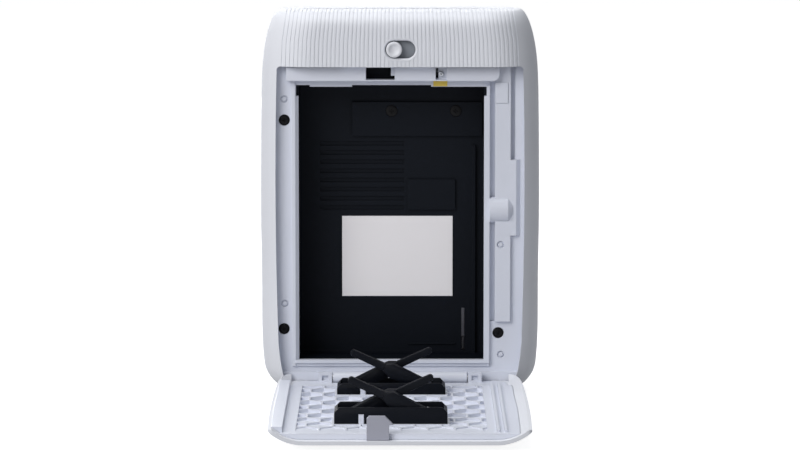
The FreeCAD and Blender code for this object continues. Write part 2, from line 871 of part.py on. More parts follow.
def head_cover():
    face = bay_floor_y - head_cover_thick
    plate = box(head_cover_left_x, bay_right_x - head_cover_side_gap, face, bay_floor_y,
                head_cover_low_z, head_cover_low_z + head_cover_height)
    for x in head_cover_screw_places():
        plate = plate.cut(rod_y(x, face, face + cover_screw_head, head_cover_screw_z(),
                                cover_screw_head_r + screw_play))
        plate = plate.cut(rod_y(x, face, bay_floor_y, head_cover_screw_z(), frame_screw_r + screw_play))
    return plate


def screw(x, z, head_y, head_r, head, shank_r, tip_y):
    """Screw driven along +Y, with a round drive recess in its head."""
    body = rod_y(x, head_y, head_y + head, z, head_r).fuse(rod_y(x, head_y + head, tip_y, z, shank_r))
    return body.cut(rod_y(x, head_y, head_y + drive_recess, z, drive_recess_r))


def screws():
    frame_set = [
        screw(x, z, frame_face_y, frame_screw_head_r, frame_screw_head, frame_screw_r,
              frame_back_y + frame_screw_length - 1)
        for x, z in frame_screw_places
    ]
    export(Part.makeCompound(frame_set), "frame_screws")
    cover_face = bay_floor_y - head_cover_thick
    cover_set = [
        screw(x, head_cover_screw_z(), cover_face, cover_screw_head_r, cover_screw_head, frame_screw_r,
              chamber_back_y)
        for x in head_cover_screw_places()
    ]
    export(Part.makeCompound(cover_set), "head_cover_screws")
    pocket_floor_y = ledge_face_y + ledge_pocket_depth
    middle_z = (ledge_low_z + ledge_high_z) / 2
    head = rod_y(ledge_pocket_x, pocket_floor_y - ledge_wall * 0.8, pocket_floor_y, middle_z,
                 small_screw_head_r)
    slot = rod_y(ledge_pocket_x, pocket_floor_y - ledge_wall, pocket_floor_y - drive_recess, middle_z,
                 small_recess_r)
    export(head.cut(slot), "ledge_screw")


# Latch

def latch_slider():
    return box(knob_x - slider_left, knob_x + slider_right, slider_front_y, slider_front_y + slider_thick,
               slider_low_z, knob_z + slider_above_knob)


def latch_catch():
    """Finger behind the ledge's slot that holds the door hook, on an arm from the slider."""
    left = catch_left_x()
    right = left + catch_width
    front = ledge_face_y + ledge_wall + catch_gap
    back = front + catch_thick
    shelf_high = slider_low_z + 2 * catch_thick
    arm = box(left, right, slider_front_y + slider_thick, back, slider_low_z, shelf_high)
    return arm.fuse(box(left, right, front, back, catch_tip_z, shelf_high))


def latch_knob():
    outside = -half_depth - knob_proud
    knob = rod_y(knob_x, outside, slider_front_y, knob_z, knob_r)
    rim = [edge for edge in knob.Edges if abs(edge.CenterOfMass.y - outside) < 0.01 and edge.Closed]
    knob = knob.makeFillet(knob_edge, rim)
    bowl_r = (knob_dish_r ** 2 + knob_dish ** 2) / (2 * knob_dish)
    bowl = Part.makeSphere(bowl_r, Vector(knob_x, outside + knob_dish - bowl_r, knob_z))
    return knob.cut(bowl)


def latch_spring():
    """Tension spring between the slider and a post on the frame, plain round form."""
    end = knob_x - slider_left - catch_gap
    y = slider_front_y + slider_thick / 2
    spring = rod_x(end - latch_spring_length, end, y, knob_z, latch_spring_r)
    return spring.cut(rod_x(end - latch_spring_length, end, y, knob_z, latch_spring_r / 2))


# Film door, drawn closed and then swung open

def swing_open(shape):
    opened = shape.copy()
    opened.rotate(hinge_origin, Vector(1, 0, 0), door_swing)
    return opened


def door_cover():
    skin = outer.cut(body_solid(door_wall))
    cover = skin.common(opening_prism(door_gap, -far, door_edge_y))
    return cover.cut(box(panel_wall_x, -panel_wall_x, panel_face_y - strip_step, far, 0, strip_high_z))


def hexagon(x, z, y0, y1):
    radius = pocket_flat / math.sqrt(3)
    points = []
    for corner in range(6):
        angle = math.radians(60 * corner + 30)
        points.append((x + radius * math.cos(angle), z + radius * math.sin(angle) * pocket_stretch))
    return polygon_y(points, y0, y1)


def tray_spans():
    return [(upper_tray_z, upper_tray_height), (lower_tray_z, lower_tray_height)]


def pocket_field():
    """The layer of the panel that holds the pockets: all of it but the margins and the trays' seats."""
    field_high_z = panel_top_z - field_margin
    profile = [
        (panel_face_y, field_low_z),
        (panel_face_y, field_high_z),
        (panel_face_y - pocket_end_depth, field_high_z),
        (panel_face_y - pocket_depth, pocket_slope_z),
        (panel_face_y - pocket_depth, field_low_z),
    ]
    field = polygon_x(profile, field_left_x, field_right_x)
    half = tray_length / 2 + tray_seat
    for tray_z, tray_height in tray_spans():
        field = field.cut(box(bay_middle_x - half, bay_middle_x + half, -half_depth, panel_face_y,
                              tray_z - tray_seat, tray_z + tray_depth + tray_seat))
    return field


def pockets():
    """Staggered hexagonal pockets, cut off where the field ends."""
    field = pocket_field()
    pitch = pocket_flat + pocket_web
    row_step = pitch * pocket_stretch * math.sqrt(3) / 2
    cells = []
    for row in range(int((panel_top_z - pocket_first_z) / row_step) + 1):
        for column in range(-1, int((field_right_x - pocket_first_x) / pitch) + 2):
            x = pocket_first_x + (column + (row % 2) / 2) * pitch
            z = pocket_first_z + row * row_step
            cell = hexagon(x, z, -half_depth, panel_face_y).common(field)
            cells.extend(piece for piece in cell.Solids if piece.Volume > least_pocket)
    return Part.makeCompound(cells)


def hinge_blocks():
    """Square blocks on the panel's lower edge, rounded at the back, each with a recess in front."""
    blocks = []
    outer_x = knuckle_inner_x + knuckle_length
    for barrel in hinge_rods(knuckle_inner_x, outer_x, knuckle_r):
        x0 = barrel.BoundBox.XMin
        foot = box(x0, x0 + knuckle_length, hinge_y - knuckle_r, hinge_y + knuckle_r,
                   hinge_z, hinge_z + knuckle_r)
        middle_x = x0 + knuckle_length / 2
        recess = box(middle_x - block_recess / 2, middle_x + block_recess / 2, hinge_y - block_recess / 4,
                     hinge_y + block_recess / 2, hinge_z + knuckle_r - block_recess_depth, far)
        blocks.append(barrel.fuse(foot).cut(recess))
    return blocks


def door_panel():
    cover_inside = body_solid(door_wall + frame_fit)
    plate = box(-panel_half_width, panel_half_width, -far, panel_face_y, panel_low_z, panel_top_z)
    notch = box(-knuckle_inner_x, knuckle_inner_x, -far, panel_face_y, panel_low_z, panel_notch_z)
    strip = box(-far, far, panel_face_y - strip_step, panel_face_y, panel_low_z, strip_high_z)
    panel = cover_inside.common(plate.cut(notch).cut(strip)).cut(pockets())
    rib_top = panel_face_y + panel_rib_height
    adds = []
    for x in (bay_right_x + rim_right, bay_right_x + rim_right + 2.5 * panel_rib_width):
        adds.append(box(x, x + panel_rib_width, panel_face_y, rib_top, strip_high_z, panel_rib_high_z))
    wall = box(-panel_half_width, panel_wall_x, panel_face_y, panel_face_y + panel_wall_height,
               strip_high_z, panel_rib_high_z)
    adds.append(cover_inside.common(wall))
    for tray_z, tray_height in tray_spans():
        boss_end = tray_z + tray_depth
        adds.append(box(tray_notch_x + tray_boss_gap, tray_notch_x + tray_notch_width - tray_boss_gap,
                        panel_face_y, panel_face_y + tray_height * tray_notch_share - tray_boss_gap,
                        boss_end - tray_wall + tray_boss_gap, boss_end - tray_boss_gap))
    panel = panel.fuse(adds + hinge_blocks())
    bores = hinge_rods(knuckle_inner_x, knuckle_inner_x + knuckle_length, hinge_pin_r + hinge_running)
    return panel.cut(Part.makeCompound(bores))


def door_hook():
    """Upright tab near the door's free edge, with a ramp and a barb on its right side."""
    seat_y = -half_depth + door_wall + hook_seat_gap
    barb_x = hook_right_x + hook_barb
    barb_y = hook_top_y - hook_ramp
    shoulder_y = barb_y - hook_back_slope
    z1 = door_top_z - hook_from_edge
    z0 = z1 - hook_thick
    profile = [
        (hook_left_x, seat_y),
        (hook_right_x, seat_y),
        (hook_right_x, shoulder_y),
        (barb_x, barb_y),
        (hook_right_x - hook_barb, hook_top_y),
        (hook_left_x + hook_corner, hook_top_y),
        (hook_left_x, hook_top_y - hook_corner),
    ]
    corners = [Vector(x, y, z0) for x, y in profile]
    tab = Part.Face(Part.makePolygon(corners + corners[:1])).extrude(Vector(0, 0, z1 - z0))
    foot = box(hook_left_x, hook_right_x, seat_y, seat_y + hook_foot_rise, panel_top_z, z1)
    return tab.fuse(foot)


def press_tray(tray_z, height):
    """Open box with chamfered upper ends that carries two lever pins."""
    half = tray_length / 2
    top = panel_face_y + height
    profile = [
        (bay_middle_x - half, panel_face_y),
        (bay_middle_x + half, panel_face_y),
        (bay_middle_x + half, top - tray_chamfer),
        (bay_middle_x + half - tray_chamfer, top),
        (bay_middle_x - half + tray_chamfer, top),
        (bay_middle_x - half, top - tray_chamfer),
    ]
    corners = [Vector(x, y, tray_z) for x, y in profile]
    tray = Part.Face(Part.makePolygon(corners + corners[:1])).extrude(Vector(0, 0, tray_depth))
    tray = tray.cut(box(bay_middle_x - half + tray_wall, bay_middle_x + half - tray_wall, panel_face_y,
                        top, tray_z + tray_wall, tray_z + tray_depth - tray_wall))
    tray = tray.cut(box(tray_notch_x, tray_notch_x + tray_notch_width, panel_face_y,
                        panel_face_y + height * tray_notch_share, tray_z + tray_depth - tray_wall,
                        tray_z + tray_depth))
    for side in (-1, 1):
        tray = tray.cut(lever_pin(tray_z, side))
    return tray


def lever(tray_z, side):
    """Press lever on the pivot at this side; it rises across the tray to the other side."""
    pivot_x = bay_middle_x + side * lever_pivot
    pivot_y = panel_face_y + lever_pivot_rise
    middle_z = tray_z + tray_depth / 2
    z0 = middle_z + lever_gap / 2 if side > 0 else middle_z - lever_gap / 2 - lever_width
    crossing = lever_pivot / math.cos(math.radians(lever_angle))
    thin = crossing + lever_web_r
    stations = [(0, lever_hub_r), (crossing, lever_web_r), (thin, lever_bar_r), (lever_length, lever_tip_r)]
    low_side = [(along, -r) for along, r in stations]
    high_side = [(along, r) for along, r in reversed(stations)]

    def bar(points, low, high):
        corners = [Vector(along, across, low) for along, across in points]
        return Part.Face(Part.makePolygon(corners + corners[:1])).extrude(Vector(0, 0, high - low))

    web_low = low_side[:3]
    web_high = high_side[1:]
    web = bar(web_low + web_high, z0, z0 + lever_width)
    inset = (lever_width - lever_bar_width) / 2
    arm = bar(low_side[2:] + high_side[:2], z0 + inset, z0 + lever_width - inset)
    tip = rod_z(lever_length, 0, z0 + inset, z0 + lever_width - inset, lever_tip_r)
    hub = rod_z(0, 0, z0, z0 + lever_width, lever_hub_r)
    shape = web.fuse([arm, tip, hub])
    shape = shape.cut(rod_z(0, 0, z0, z0 + lever_width, lever_pin_r + lever_running))
    if side > 0:
        shape = shape.mirror(Vector(0, 0, 0), Vector(1, 0, 0))
    shape.rotate(Vector(0, 0, 0), Vector(0, 0, 1), -side * lever_angle)
    shape.translate(Vector(pivot_x, pivot_y, 0))
    return shape


def lever_pin(tray_z, side):
    """Pivot pin that ends inside both walls of its tray."""
    return rod_z(bay_middle_x + side * lever_pivot, panel_face_y + lever_pivot_rise,
                 tray_z + tray_pin_cover, tray_z + tray_depth - tray_pin_cover, lever_pin_r)


def lever_pins():
    pins = [lever_pin(tray_z, side) for tray_z, height in tray_spans() for side in (-1, 1)]
    return Part.makeCompound(pins)


def lever_springs():
    """Torsion springs on the lever pins, beside each lever, plain round form."""
    springs = []
    for tray_z, height in tray_spans():
        middle_z = tray_z + tray_depth / 2
        for side in (-1, 1):
            x = bay_middle_x + side * lever_pivot
            y = panel_face_y + lever_pivot_rise
            reach = tray_depth / 2 - tray_wall - lever_spring_gap
            z0 = middle_z - reach if side > 0 else middle_z + lever_gap / 2
            length = reach - lever_gap / 2
            coil = rod_z(x, y, z0, z0 + length, lever_spring_r)
            springs.append(coil.cut(rod_z(x, y, z0, z0 + length, lever_pin_r + lever_running)))
    return Part.makeCompound(springs)


# Rollers and gears

drive_y = film_plane_y - film_gap - roller_r
pinch_y = film_plane_y + film_gap + roller_r
bracket_left_x = chamber_left_x
bracket_right_x = chamber_right_x
gear_layer_one = bracket_right_x + bracket_thick + gear_bracket_gap
gear_layer_two = gear_layer_one + gear_width + gear_layer_gap


def pitch_radius(teeth):
    return gear_module * teeth / 2


def polar(start, distance, bearing):
    angle = math.radians(bearing)
    return (start[0] + distance * math.cos(angle), start[1] + distance * math.sin(angle))


roller_centre = (drive_y, roller_z)
idler_centre = polar(roller_centre, pitch_radius(roller_teeth + small_teeth) + centre_play, idler_bearing)
motor_centre = polar(idler_centre, pitch_radius(large_teeth + pinion_teeth) + centre_play, motor_bearing)


def involute(radius):
    """Angle of the involute function where the flank crosses this radius of its base circle."""
    slope = math.sqrt(max(radius ** 2 - 1, 0))
    return slope - math.atan(slope)


def gear(teeth, centre, tooth_bearing, x0, x1):
    """Spur gear about an axis along X, with one tooth centred on tooth_bearing."""
    pitch_r = pitch_radius(teeth)
    base_r = pitch_r * math.cos(math.radians(pressure_angle))
    tip_r = pitch_r + tooth_height * gear_module
    root_r = pitch_r - tooth_root * gear_module
    half_tooth = math.pi / (2 * teeth) - tooth_play / (2 * pitch_r) + involute(pitch_r / base_r)
    start_r = max(base_r, root_r)
    flank = [start_r + (tip_r - start_r) * step / 4 for step in range(5)]
    points = []
    for tooth in range(teeth):
        middle = math.radians(tooth_bearing) + 2 * math.pi * tooth / teeth
        rising = [(r, middle - half_tooth + involute(r / base_r)) for r in flank]
        falling = [(r, middle + half_tooth - involute(r / base_r)) for r in reversed(flank)]
        sides = [(root_r, rising[0][1])] + rising + falling + [(root_r, falling[-1][1])]
        for r, angle in sides:
            points.append((centre[0] + r * math.cos(angle), centre[1] + r * math.sin(angle)))
    return polygon_x(points, x0, x1)


def drive_gears():
    half_step = 180.0
    large = gear(large_teeth, idler_centre, motor_bearing, gear_layer_one, gear_layer_one + gear_width)
    small = gear(small_teeth, idler_centre, idler_bearing + half_step,
                 gear_layer_one + gear_width, gear_layer_two + gear_width)
    bore = rod_x(gear_layer_one, gear_layer_two + gear_width, idler_centre[0], idler_centre[1],
                 gear_pin_r + gear_running)
    idler = large.fuse(small).cut(bore)
    roller_tooth = idler_bearing + half_step / roller_teeth
    roller_gear = gear(roller_teeth, roller_centre, roller_tooth, gear_layer_two,
                       gear_layer_two + gear_width)
    roller_gear = roller_gear.cut(rod_x(gear_layer_two, gear_layer_two + gear_width, roller_centre[0],
                                        roller_centre[1], shaft_r))
    pinion_tooth = motor_bearing + half_step + half_step / pinion_teeth
    pinion = gear(pinion_teeth, motor_centre, pinion_tooth, gear_layer_one, gear_layer_one + gear_width)
    pinion = pinion.fuse(rod_x(bracket_right_x - motor_shaft_depth, gear_layer_one, motor_centre[0],
                               motor_centre[1], motor_shaft_r))
    export(idler, "idler_gear")
    export(roller_gear, "roller_gear")
    export(pinion, "motor_pinion")
    pin = rod_x(bracket_right_x, gear_layer_two + gear_width, idler_centre[0], idler_centre[1], gear_pin_r)
    export(pin, "gear_pin")


def side_bracket(x0, front_y):
    blank = box(x0, x0 + bracket_thick, bracket_rear_y, front_y, bracket_low_z, bracket_high_z)
    for y in (drive_y, pinch_y):
        blank = blank.cut(rod_x(x0, x0 + bracket_thick, y, roller_z, bush_r))
    return blank.common(fitted)


def brackets():
    left = side_bracket(bracket_left_x - bracket_thick, left_bracket_front_y)
    right = side_bracket(bracket_right_x, bracket_front_y)
    right = right.cut(rod_x(bracket_right_x, bracket_right_x + bracket_thick, idler_centre[0],
                            idler_centre[1], gear_pin_r))
    right = right.cut(rod_x(bracket_right_x, bracket_right_x + bracket_thick, motor_centre[0],
                            motor_centre[1], 2 * motor_shaft_r))
    export(left, "left_bracket")
    export(right, "gear_plate")


def roller_bushes():
    bushes = []
    for y in (drive_y, pinch_y):
        for x0, inward in ((bracket_left_x - bracket_thick, 1), (bracket_right_x, -1)):
            sleeve = rod_x(x0, x0 + bracket_thick, y, roller_z, bush_r)
            collar_x = x0 + bracket_thick if inward > 0 else x0 - bush_collar
            collar = rod_x(collar_x, collar_x + bush_collar, y, roller_z, bush_collar_r)
            bush = sleeve.fuse(collar)
            bushes.append(bush.cut(rod_x(x0 - far, x0 + far, y, roller_z, shaft_r + shaft_running)))
    return Part.makeCompound(bushes)


def rollers():
    left = bracket_left_x - bracket_thick
    right = bracket_right_x + bracket_thick
    sleeve_left = bracket_left_x + roller_margin
    sleeve_right = bracket_right_x - roller_margin
    for name, y, end in (("drive", drive_y, gear_layer_two + gear_width), ("pinch", pinch_y, right)):
        shaft = rod_x(left, end, y, roller_z, shaft_r)
        core = rod_x(sleeve_left, sleeve_right, y, roller_z, roller_r - sleeve_wall)
        export(shaft.fuse(core), name + "_roller_shaft")
        sleeve = rod_x(sleeve_left, sleeve_right, y, roller_z, roller_r)
        sleeve = sleeve.cut(rod_x(sleeve_left, sleeve_right, y, roller_z, roller_r - sleeve_wall))
        export(sleeve, name + "_roller_sleeve")


def motor():
    can = rod_x(bracket_right_x - motor_length, bracket_right_x, motor_centre[0], motor_centre[1], motor_r)
    bore = rod_x(bracket_right_x - motor_shaft_depth - 1, bracket_right_x, motor_centre[0],
                 motor_centre[1], motor_shaft_r + gear_running)
    return can.cut(bore)


# Exposure head and claw

def exposure_head():
    face = film_plane_y + head_film_gap
    return box(film_left_x, film_right_x, face, face + head_depth, chamber_top_z,
               chamber_top_z + head_height)


def lens_strip():
    face = film_plane_y + head_film_gap
    middle_z = chamber_top_z + head_height / 2
    return box(film_left_x + lens_height, film_right_x - lens_height, face - lens_thick, face,
               middle_z - lens_height / 2, middle_z + lens_height / 2)


def film_claw():
    """Sheet strip behind the bay floor, with a finger through the floor's slot."""
    face = chamber_back_y + claw_gap
    strip = box(claw_x - claw_width / 2, claw_x + claw_width / 2, face, face + claw_thick,
                claw_slot_low_z, claw_slot_low_z + claw_length)
    finger_low = claw_slot_low_z + claw_gap
    finger = box(claw_x - claw_finger_thick / 2, claw_x + claw_finger_thick / 2,
                 bay_floor_y - claw_finger_thick, face, finger_low, finger_low + claw_finger)
    return strip.fuse(finger)


# Electronics and power button

def main_board():
    face = chamber_back_y + board_standoff
    board = box(board_left_x, board_right_x, face, face + board_thick, board_low_z, board_high_z)
    return board.common(fitted)


def board_chips():
    face = chamber_back_y + board_standoff + board_thick
    bodies = []
    for x, z, size, tall in chips:
        bodies.append(box(x - size / 2, x + size / 2, face, face + tall, z - size / 2, z + size / 2))
    return Part.makeCompound(bodies)


def usb_socket():
    face = chamber_back_y + board_standoff + board_thick
    left = board_left_x - socket_overhang
    socket = box(left, left + socket_length, face, face + socket_height,
                 socket_z - socket_width / 2, socket_z + socket_width / 2)
    return socket.cut(box(left, left + socket_length - socket_wall, face + socket_wall,
                          face + socket_height - socket_wall,
                          socket_z - socket_width / 2 + socket_wall,
                          socket_z + socket_width / 2 - socket_wall))


def battery():
    cell = box(battery_left_x, battery_left_x + battery_width, chamber_back_y,
               chamber_back_y + battery_thick, battery_low_z, battery_low_z + battery_height)
    return cell.makeFillet(battery_round, [e for e in cell.Edges if e.BoundBox.ZLength > battery_height / 2])


def light_ring():
    inside = button_r + button_play
    outside = inside + ring_width
    ring = rod_y(button_x, front_inside_y, half_depth, button_z, outside)
    flange = rod_y(button_x, front_inside_y - ring_flange_thick, front_inside_y, button_z,
                   outside + ring_flange)
    return ring.fuse(flange).cut(rod_y(button_x, 0, far, button_z, inside))


def power_button():
    flange_face = front_inside_y - ring_flange_thick - button_play
    cap = rod_y(button_x, flange_face, half_depth + button_proud, button_z, button_r)
    flange = rod_y(button_x, flange_face - button_flange_thick, flange_face, button_z,
                   button_r + button_flange)
    bowl_r = (button_r ** 2 + button_dish ** 2) / (2 * button_dish) * 2
    reach = half_depth + button_proud + bowl_r - button_dish
    bowl = Part.makeSphere(bowl_r, Vector(button_x, reach, button_z))
    return cap.fuse(flange).cut(bowl)


def button_board():
    rear = button_board_y()
    return box(button_x - button_board_half, button_x + button_board_half, rear,
               rear + button_board_thick, button_z - button_board_height / 2,
               button_z + button_board_height / 2)


def button_switch():
    face = button_board_y() + button_board_thick
    half = switch_size / 2
    return box(button_x - half, button_x + half, face, face + switch_height,
               button_z - half, button_z + half)


def exit_seal():
    high = body_height - shell_wall
    slot_low = film_plane_y - film_slot_gap / 2
    slot_high = film_plane_y + film_slot_gap / 2
    strips = []
    for y in (slot_low - seal_width, slot_high):
        strips.append(box(film_left_x, film_right_x, y, y + seal_width, high - seal_height, high))
    return Part.makeCompound(strips)


def bay_label():
    return box(label_left_x, label_left_x + label_width, bay_floor_y - label_thick, bay_floor_y,
               label_low_z, label_low_z + label_height)


def pack_mark():
    return box(mark_left_x, mark_left_x + mark_width, frame_face_y - mark_thick, frame_face_y,
               mark_low_z, mark_low_z + mark_height)


# Write every piece

export(rear_shell(), "rear_shell")
export(front_shell(), "front_shell")
export(film_frame(), "film_frame")
export(film_chamber(), "film_chamber")
export(head_cover(), "head_cover")
screws()
export(latch_slider(), "latch_slider")
export(latch_catch(), "latch_catch")
export(latch_knob(), "latch_knob")
export(latch_spring(), "latch_spring")
export(swing_open(door_cover()), "door_cover")
export(swing_open(door_panel()), "door_panel")
export(swing_open(door_hook()), "door_hook")
export(hinge_pins(), "hinge_pins")
for place, (tray_z, tray_height) in zip(("upper", "lower"), tray_spans()):
    export(swing_open(press_tray(tray_z, tray_height)), place + "_press_tray")
    for hand, side in (("left", -1), ("right", 1)):
        export(swing_open(lever(tray_z, side)), place + "_" + hand + "_lever")
export(swing_open(lever_pins()), "lever_pins")
export(swing_open(lever_springs()), "lever_springs")
drive_gears()
brackets()
export(roller_bushes(), "roller_bushes")
rollers()
export(motor(), "motor")
export(exposure_head(), "exposure_head")
export(lens_strip(), "lens_strip")
export(film_claw(), "film_claw")
export(main_board(), "main_board")
export(board_chips(), "board_chips")
export(usb_socket(), "usb_socket")
export(battery(), "battery")
export(light_ring(), "light_ring")
export(power_button(), "power_button")
export(button_board(), "button_board")
export(button_switch(), "button_switch")
export(exit_seal(), "exit_seal")
export(bay_label(), "bay_label")
export(pack_mark(), "pack_mark")
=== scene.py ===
import math
import bpy
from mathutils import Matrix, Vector


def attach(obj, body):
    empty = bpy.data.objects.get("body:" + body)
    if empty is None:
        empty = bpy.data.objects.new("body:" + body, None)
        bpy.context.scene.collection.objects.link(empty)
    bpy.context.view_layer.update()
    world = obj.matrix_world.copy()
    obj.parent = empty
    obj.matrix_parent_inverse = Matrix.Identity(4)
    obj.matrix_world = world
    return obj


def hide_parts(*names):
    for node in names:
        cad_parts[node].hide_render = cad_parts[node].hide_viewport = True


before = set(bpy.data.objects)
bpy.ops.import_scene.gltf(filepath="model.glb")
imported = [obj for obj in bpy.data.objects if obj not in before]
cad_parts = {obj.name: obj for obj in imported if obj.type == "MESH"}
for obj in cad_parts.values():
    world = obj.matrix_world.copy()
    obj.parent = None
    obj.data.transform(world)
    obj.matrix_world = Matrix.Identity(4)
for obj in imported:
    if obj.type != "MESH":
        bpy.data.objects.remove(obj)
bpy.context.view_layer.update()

# Outer shells and the door's cover.
# Three injection-moulded covers in cool white ABS with a fine spark-eroded satin texture,
# joined at a flat seam round the body's waist; the rear one carries the ribbed band.
def moulded_plastic(name, colour, gloss, grain, relief, drift=0.03, edge=0.0003, shine=0.5):
    patches_per_metre = 38.0
    gloss_spread = 0.06
    relief_share = 0.4
    material = bpy.data.materials.new(name)
    material.use_nodes = True
    nodes = material.node_tree.nodes
    links = material.node_tree.links
    surface = nodes["Principled BSDF"]
    surface.inputs["Specular IOR Level"].default_value = shine
    place = nodes.new("ShaderNodeTexCoord")
    fine = nodes.new("ShaderNodeTexNoise")
    fine.inputs["Scale"].default_value = 1.0 / grain
    fine.inputs["Detail"].default_value = 3.0
    links.new(place.outputs["Object"], fine.inputs["Vector"])
    broad = nodes.new("ShaderNodeTexNoise")
    broad.inputs["Scale"].default_value = patches_per_metre
    broad.inputs["Detail"].default_value = 2.0
    links.new(place.outputs["Object"], broad.inputs["Vector"])
    tint = nodes.new("ShaderNodeMix")
    tint.data_type = "RGBA"
    tint.inputs["A"].default_value = [c * (1 - drift) for c in colour] + [1]
    tint.inputs["B"].default_value = [min(1, c * (1 + drift)) for c in colour] + [1]
    links.new(broad.outputs["Fac"], tint.inputs["Factor"])
    links.new(tint.outputs["Result"], surface.inputs["Base Color"])
    polish = nodes.new("ShaderNodeMapRange")
    polish.inputs["To Min"].default_value = max(0.05, 1 - gloss - gloss_spread)
    polish.inputs["To Max"].default_value = min(1.0, 1 - gloss + gloss_spread)
    links.new(fine.outputs["Fac"], polish.inputs["Value"])
    links.new(polish.outputs["Result"], surface.inputs["Roughness"])
    bump = nodes.new("ShaderNodeBump")
    bump.inputs["Strength"].default_value = relief
    bump.inputs["Distance"].default_value = grain * relief_share
    links.new(fine.outputs["Fac"], bump.inputs["Height"])
    soft_edge = nodes.new("ShaderNodeBevel")
    soft_edge.samples = 6
    soft_edge.inputs["Radius"].default_value = edge
    links.new(soft_edge.outputs["Normal"], bump.inputs["Normal"])
    links.new(bump.outputs["Normal"], surface.inputs["Normal"])
    return material


def dress(material, *names):
    for name in names:
        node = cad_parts[name]
        node.data.materials.clear()
        node.data.materials.append(material)


shell_white = moulded_plastic("shell_satin_white", (0.735, 0.755, 0.81), gloss=0.40, grain=0.00035,
                              relief=0.10, drift=0.02, edge=0.0001, shine=0.35)
dress(shell_white, "rear_shell", "front_shell", "door_cover")

# Film frame, the door's inner panel and the latch's catch.
# Moulded in the same white but left smoother from the tool; the frame is screwed to posts of
# the front shell and the panel is welded inside the door's cover.
frame_white = moulded_plastic("frame_smooth_white", (0.70, 0.73, 0.82), gloss=0.6, grain=0.0006, relief=0.05)
dress(frame_white, "film_frame", "door_panel", "latch_catch")

# Film chamber, exposure head and the cover over the head.
# Black glass-filled plastic with a fine matt texture that keeps stray light off the film;
# the cover is screwed to the chamber's floor.
bay_black = moulded_plastic("bay_matt_black", (0.0031, 0.0048, 0.0088), gloss=0.42, grain=0.0004,
                            relief=0.18, drift=0.15, edge=0.0002, shine=0.12)
dress(bay_black, "film_chamber", "head_cover", "exposure_head")

# Press trays on the door, each with two crossing levers on steel pins.
# The same black plastic from a smoother tool, with the small radius that the tool leaves along
# every edge; the trays are clipped into the honeycomb panel.
press_black = moulded_plastic("press_satin_black", (0.0026, 0.0038, 0.0072), gloss=0.52, grain=0.0004,
                              relief=0.12, drift=0.15, edge=0.0002, shine=0.14)
press_edge = 0.0002


def round_edges(node, name, body, radius, material):
    weld = 0.000002
    flat = math.radians(1)
    sharp = math.radians(40)
    smooth = math.radians(38)
    bpy.ops.object.select_all(action="DESELECT")
    piece = bpy.data.objects.new(name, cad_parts[node].data.copy())
    bpy.context.scene.collection.objects.link(piece)
    piece.select_set(True)
    bpy.context.view_layer.objects.active = piece
    bpy.ops.mesh.customdata_custom_splitnormals_clear()
    bpy.ops.object.mode_set(mode="EDIT")
    bpy.ops.mesh.select_all(action="SELECT")
    bpy.ops.mesh.remove_doubles(threshold=weld)
    bpy.ops.mesh.dissolve_limited(angle_limit=flat)
    bpy.ops.object.mode_set(mode="OBJECT")
    edge = piece.modifiers.new("edge", "BEVEL")
    edge.width = radius
    edge.segments = 2
    edge.limit_method = "ANGLE"
    edge.angle_limit = sharp
    bpy.ops.object.modifier_apply(modifier="edge")
    bpy.ops.object.shade_smooth_by_angle(angle=smooth)
    piece.data.materials.clear()
    piece.data.materials.append(material)
    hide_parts(node)
    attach(piece, body)


round_edges("upper_press_tray", "upper_tray_moulding", "door", press_edge, press_black)
round_edges("lower_press_tray", "lower_tray_moulding", "door", press_edge, press_black)
for corner in ("upper_left", "upper_right", "lower_left", "lower_right"):
    lever = corner + "_lever"
    round_edges(lever, lever + "_moulding", lever, press_edge, press_black)

# Blank paper label on the bay floor.
# Thin uncoated stock stuck flat to the black floor with its own adhesive.
label_paper = moulded_plastic("label_paper", (0.95, 0.93, 0.95), gloss=0.15, grain=0.0003, relief=0.12,
                              drift=0.02)
dress(label_paper, "bay_label")

# Yellow mark that shows which way round a film pack goes in.
# Printed film strip on the frame above the bay.
mark_yellow = moulded_plastic("mark_yellow", (0.84, 0.62, 0.11), gloss=0.35, grain=0.0005, relief=0.05)
dress(mark_yellow, "pack_mark")

# Screws with black oxide heads: three in the rails of the frame and two in the head cover.
# Cold-headed steel with a low dome and a pressed cross recess over a plain shank; they are
# driven into posts of the front shell and of the chamber.
screw_black = moulded_plastic("screw_black_oxide", (0.003, 0.003, 0.004), gloss=0.5, grain=0.0003,
                              relief=0.1, drift=0.1, edge=0.0002, shine=0.15)


